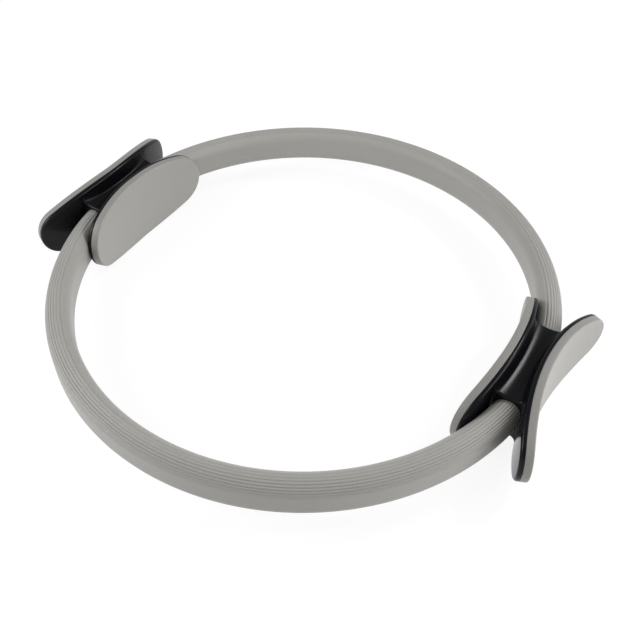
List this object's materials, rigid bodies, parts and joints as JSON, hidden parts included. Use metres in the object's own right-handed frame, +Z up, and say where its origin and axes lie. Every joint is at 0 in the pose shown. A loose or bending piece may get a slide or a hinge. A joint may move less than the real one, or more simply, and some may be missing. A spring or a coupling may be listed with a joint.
{
  "type": "pilates ring",
  "caption": "Springy round hoop in a ribbed grey foam sleeve, squeezed between a pair of padded black grips that are bowed to fit hands and legs.",
  "frame": {"origin": "middle of the ring, on the surface that the grips stand on", "axes": "+Z up, +X through the right grip along the squeeze, +Y to the rear of the ring"},
  "size_m": [0.4102, 0.3738, 0.0582],
  "materials": {
    "sleeve_foam": "matt ribbed foam",
    "pad_foam": "matt skinned foam",
    "grip_plastic": "satin black moulding",
    "glass_fibre": "pultruded strip",
    "screw_steel": "zinc plated"
  },
  "bodies": {
    "right_grip": {"right_inner_shell": "grip_plastic", "right_outer_shell": "grip_plastic", "right_inner_pad": "pad_foam", "right_outer_pad": "pad_foam", "right_screws": "screw_steel"},
    "left_grip": {"left_inner_shell": "grip_plastic", "left_outer_shell": "grip_plastic", "left_inner_pad": "pad_foam", "left_outer_pad": "pad_foam", "left_screws": "screw_steel"},
    "front_sleeve": {"front_sleeve": "sleeve_foam"},
    "rear_sleeve": {"rear_sleeve": "sleeve_foam"},
    "front_band": {"front_band": "glass_fibre"},
    "rear_band": {"rear_band": "glass_fibre"}
  },
  "joints": [
    {"name": "squeeze", "type": "slide", "parent": "right_grip", "child": "left_grip", "axis": [1, 0, 0], "range_m": [-0.02, 0.05], "stiffness_N_per_m": 2050, "deforming": ["front_sleeve", "rear_sleeve", "front_band", "rear_band"]},
    {"name": "front_sleeve_bend", "type": "slide", "parent": "right_grip", "child": "front_sleeve", "axis": [0.7367, -0.6763, 0], "range_m": [-0.0137, 0.0341]},
    {"name": "rear_band_bend", "type": "slide", "parent": "right_grip", "child": "rear_band", "axis": [0.7367, 0.6763, 0], "range_m": [-0.0137, 0.0341]},
    {"name": "front_band_bend", "type": "slide", "parent": "left_grip", "child": "front_band", "axis": [-0.7367, -0.6763, 0], "range_m": [-0.0137, 0.0341]},
    {"name": "rear_sleeve_bend", "type": "slide", "parent": "left_grip", "child": "rear_sleeve", "axis": [-0.7367, 0.6763, 0], "range_m": [-0.0137, 0.0341]}
  ],
  "couplings": [
    {"joint": "front_sleeve_bend", "follows": "squeeze", "ratio": 0.67873},
    {"joint": "rear_band_bend", "follows": "squeeze", "ratio": 0.67873},
    {"joint": "front_band_bend", "follows": "squeeze", "ratio": 0.67873},
    {"joint": "rear_sleeve_bend", "follows": "squeeze", "ratio": 0.67873}
  ]
}
